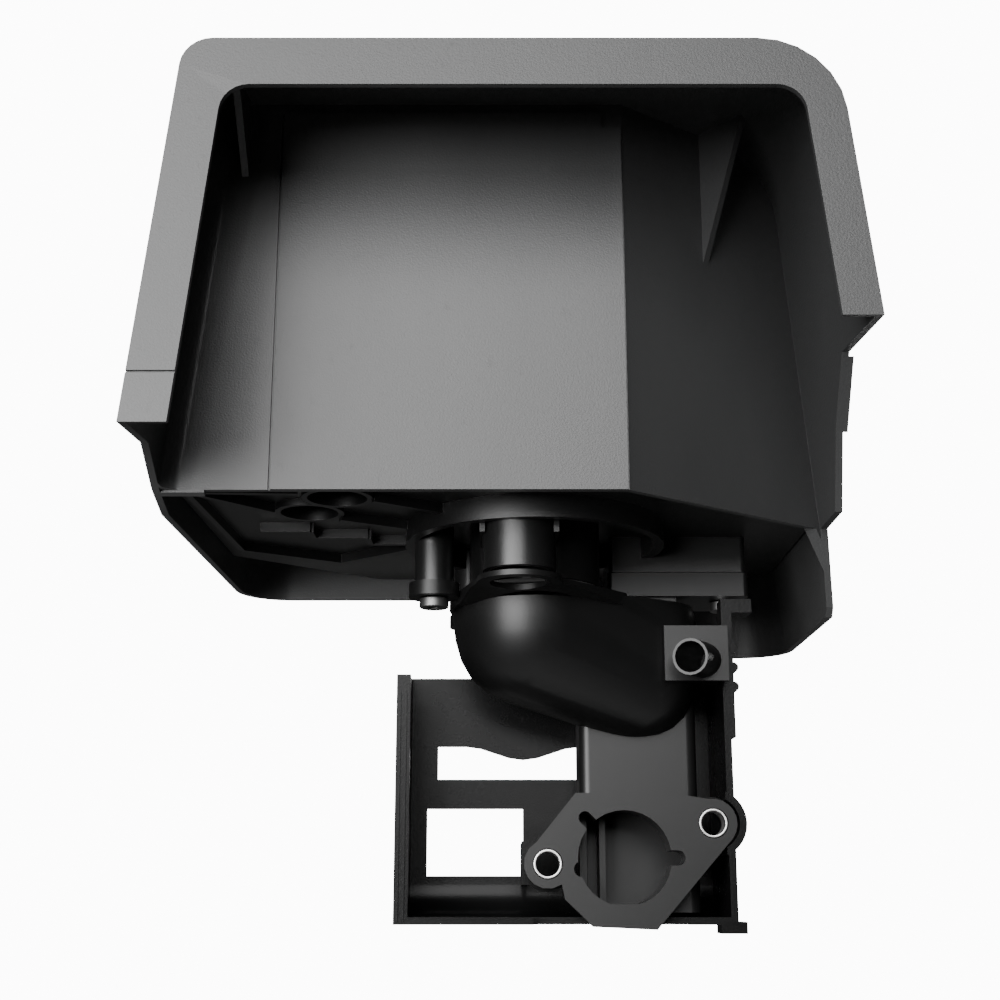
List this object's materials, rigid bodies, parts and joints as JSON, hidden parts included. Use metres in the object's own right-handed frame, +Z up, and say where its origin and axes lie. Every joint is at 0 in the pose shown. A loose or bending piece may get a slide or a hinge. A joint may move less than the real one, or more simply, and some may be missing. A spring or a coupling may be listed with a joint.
{
  "type": "air filter housing",
  "caption": "Boxy black plastic air filter housing with a deep front hood, tray, elbow with a slanted two-stud flange, and a windowed carburettor shroud.",
  "frame": {"origin": "centre of the carburettor bore on the mating face of the elbow's flange", "axes": "-Y out of the flange towards the carburettor, +Z up through the cover, +X to the right looking along +Y"},
  "size_m": [0.2315, 0.2175, 0.3015],
  "materials": {
    "black_plastic": "satin moulded black plastic",
    "steel": "zinc plated steel",
    "rubber": "matt rubber",
    "filter_paper": "pleated filter paper",
    "element_cap": "cast soft plastic",
    "foam": "open cell foam"
  },
  "bodies": {
    "housing_body": {"base_tray": "black_plastic", "cover_seal": "rubber", "elbow": "black_plastic", "elbow_gasket": "rubber", "elbow_screw_ear": "steel", "elbow_screw_right": "steel", "elbow_screw_rear": "steel", "stud_collar_left": "steel", "stud_collar_right": "steel", "shroud": "black_plastic", "through_stud": "steel", "stud_lock_nut": "steel"},
    "cover_body": {"cover": "black_plastic", "cover_grommet": "rubber"},
    "cover_washer_body": {"cover_washer": "steel"},
    "cover_nut_body": {"cover_wing_nut": "steel"},
    "element_body": {"element_seat_seal": "rubber", "element_lower_cap": "element_cap", "element_paper": "filter_paper", "element_core": "steel", "element_upper_cap": "element_cap", "foam_sleeve": "foam"},
    "element_washer_body": {"element_washer": "steel"},
    "element_nut_body": {"element_wing_nut": "steel"}
  },
  "joints": [
    {"name": "cover_lift", "type": "slide", "parent": "housing_body", "child": "cover_body", "axis": [0, 0, 1], "range_m": [0, 0.2]},
    {"name": "cover_washer_rise", "type": "slide", "parent": "cover_body", "child": "cover_washer_body", "axis": [0, 0, 1], "range_m": [0, 0.005]},
    {"name": "cover_nut_turn", "type": "hinge", "parent": "cover_washer_body", "child": "cover_nut_body", "pos_m": [-0.031, -0.006, 0.262], "axis": [0, 0, 1], "range_deg": [0, 1800]},
    {"name": "element_lift", "type": "slide", "parent": "housing_body", "child": "element_body", "axis": [0, 0, 1], "range_m": [0, 0.1]},
    {"name": "element_washer_rise", "type": "slide", "parent": "element_body", "child": "element_washer_body", "axis": [0, 0, 1], "range_m": [0, 0.005]},
    {"name": "element_nut_turn", "type": "hinge", "parent": "element_washer_body", "child": "element_nut_body", "pos_m": [-0.031, -0.006, 0.218], "axis": [0, 0, 1], "range_deg": [0, 1800]}
  ],
  "couplings": [
    {"joint": "element_lift", "follows": "cover_lift", "ratio": 0.5},
    {"joint": "cover_washer_rise", "follows": "cover_nut_turn", "m_per_rad": 0.00015915},
    {"joint": "element_washer_rise", "follows": "element_nut_turn", "m_per_rad": 0.00015915}
  ]
}
